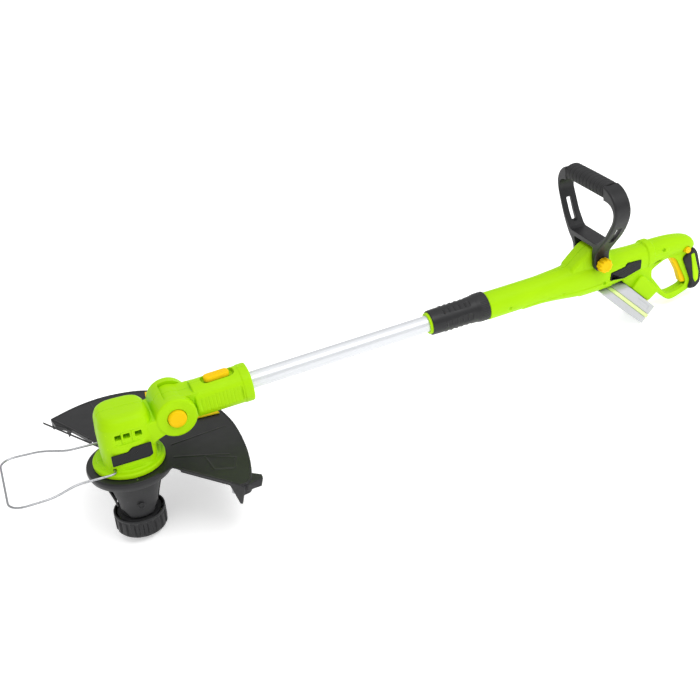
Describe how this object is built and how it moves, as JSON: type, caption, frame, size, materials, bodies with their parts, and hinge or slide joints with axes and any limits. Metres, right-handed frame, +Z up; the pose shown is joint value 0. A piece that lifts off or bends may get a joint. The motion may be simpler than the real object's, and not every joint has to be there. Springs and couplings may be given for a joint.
{
  "type": "lawn edger",
  "caption": "Cordless line trimmer and lawn edger: tilting, swivelling motor head with guard, telescoping shaft, D-shaped front handle, looped rear handle and slide-in battery",
  "frame": {"origin": "centre of the bounding box's bottom face: on the ground under the tool as it lies on its spool and battery", "axes": "+X along the ground towards the rear handle, +Y to the operator's right, +Z up"},
  "size_m": [1.1054, 0.3212, 0.2765],
  "materials": {
    "lime_plastic": "smooth semi-gloss moulded ABS, lime green",
    "badge_black": "smooth dark badge plate, blank",
    "yellow_plastic": "smooth moulded plastic, orange yellow",
    "black_plastic": "finely textured black moulded plastic",
    "black_rubber": "soft black overmoulded rubber, ribbed",
    "satin_aluminium": "satin anodised or white-painted aluminium tube",
    "steel": "plain bright steel",
    "dark_plastic": "plain dark plastic",
    "battery_grey": "pale grey plastic",
    "battery_green": "pale lime plastic",
    "battery_yellow": "pale yellow plastic",
    "copper": "copper windings",
    "trimmer_line": "nylon trimmer line, wound"
  },
  "bodies": {
    "handle": {"housing_left": "lime_plastic", "housing_right": "lime_plastic", "badge_left": "badge_black", "badge_right": "badge_black", "guide_bush": "lime_plastic", "rear_grip": "black_rubber", "grip_inlay_left": "lime_plastic", "grip_inlay_right": "lime_plastic", "switch_body": "dark_plastic", "control_board": "dark_plastic", "terminal_block": "dark_plastic", "housing_screw_1": "steel", "housing_screw_2": "steel", "housing_screw_3": "steel", "housing_screw_4": "steel"},
    "shaft": {"shaft_tube": "satin_aluminium", "tube_end_stop": "black_plastic", "swivel_bush": "dark_plastic"},
    "lock": {"lock_collar": "black_plastic"},
    "front": {"front_handle": "black_plastic", "front_grip": "black_rubber", "handle_bolt": "steel"},
    "knob": {"handle_knob": "yellow_plastic"},
    "trigger": {"trigger": "yellow_plastic"},
    "safety": {"safety_bolt": "yellow_plastic"},
    "battery": {"battery_tray": "battery_grey", "battery_band": "battery_green", "battery_top": "battery_grey", "cell_pack": "dark_plastic"},
    "latch": {"battery_latch": "battery_yellow"},
    "collar": {"collar_left": "lime_plastic", "collar_right": "lime_plastic", "collar_screw_1": "steel", "collar_screw_2": "steel"},
    "swivel_button": {"swivel_button": "yellow_plastic"},
    "head": {"head_left": "lime_plastic", "head_right": "lime_plastic", "head_badge_left": "badge_black", "head_badge_right": "badge_black", "head_screw_1": "steel", "head_screw_2": "steel", "guard": "black_plastic", "guard_insert": "yellow_plastic", "guard_screw_1": "steel", "guard_screw_2": "steel", "line_cutter": "steel", "spool_shroud": "black_plastic", "motor_can": "steel", "upper_bearing": "steel", "lower_bearing": "steel", "pivot_pin": "steel", "tilt_spring": "steel"},
    "tilt_button": {"tilt_button": "yellow_plastic"},
    "wire": {"guard_wire": "steel"},
    "spinner": {"motor_rotor": "copper", "motor_shaft": "steel", "drive_hub": "black_plastic", "line_spool": "dark_plastic", "wound_line": "trimmer_line", "spool_cap": "black_plastic"}
  },
  "joints": [
    {"name": "telescope", "type": "slide", "parent": "handle", "child": "shaft", "axis": [-0.996, 0, 0.0892], "range_m": [0, 0.12]},
    {"name": "lock_twist", "type": "hinge", "parent": "handle", "child": "lock", "pos_m": [0.13266, -0.02642, 0.13309], "axis": [0.996, 0, -0.0892], "range_deg": [0, 90]},
    {"name": "head_swivel", "type": "hinge", "parent": "shaft", "child": "collar", "pos_m": [-0.23387, -0.02642, 0.16592], "axis": [0.996, 0, -0.0892], "range_deg": [0, 180]},
    {"name": "swivel_button_press", "type": "slide", "parent": "collar", "child": "swivel_button", "axis": [-0.0892, 0, -0.996], "range_m": [0, 0.002], "stiffness_N_per_m": 900, "springref_m": -0.001},
    {"name": "head_tilt", "type": "hinge", "parent": "collar", "child": "head", "pos_m": [-0.30667, -0.02642, 0.17143], "axis": [0, 1, 0], "range_deg": [0, 60]},
    {"name": "tilt_button_press", "type": "slide", "parent": "head", "child": "tilt_button", "axis": [0, 1, 0], "range_m": [0, 0.0022], "stiffness_N_per_m": 900, "springref_m": -0.001, "deforming": ["tilt_spring"]},
    {"name": "wire_fold", "type": "hinge", "parent": "head", "child": "wire", "pos_m": [-0.40901, -0.02642, 0.13233], "axis": [0, 1, 0], "range_deg": [0, 100]},
    {"name": "spool_spin", "type": "hinge", "parent": "head", "child": "spinner", "pos_m": [-0.39497, -0.02642, 0.06202], "axis": [0.1585, 0, 0.9874], "continuous": true},
    {"name": "front_handle_tilt", "type": "hinge", "parent": "handle", "child": "front", "pos_m": [0.36596, -0.02642, 0.13729], "axis": [0, 1, 0], "range_deg": [-45, 15]},
    {"name": "knob_turn", "type": "hinge", "parent": "front", "child": "knob", "pos_m": [0.36596, -0.06342, 0.13729], "axis": [0, 1, 0], "continuous": true},
    {"name": "trigger_pull", "type": "hinge", "parent": "handle", "child": "trigger", "pos_m": [0.50726, -0.02642, 0.0895], "axis": [0, -1, 0], "range_deg": [0, 5.5], "stiffness_Nm_per_rad": 1.2, "springref_deg": -6.88},
    {"name": "safety_press", "type": "slide", "parent": "handle", "child": "safety", "axis": [0, 1, 0], "range_m": [0, 0.0035], "stiffness_N_per_m": 500, "springref_m": -0.001},
    {"name": "battery_slide", "type": "slide", "parent": "handle", "child": "battery", "axis": [0.6153, 0, -0.7883], "range_m": [0, 0.08]},
    {"name": "latch_press", "type": "slide", "parent": "battery", "child": "latch", "axis": [-0.7883, 0, -0.6153], "range_m": [0, 0.002], "stiffness_N_per_m": 700, "springref_m": -0.001}
  ]
}
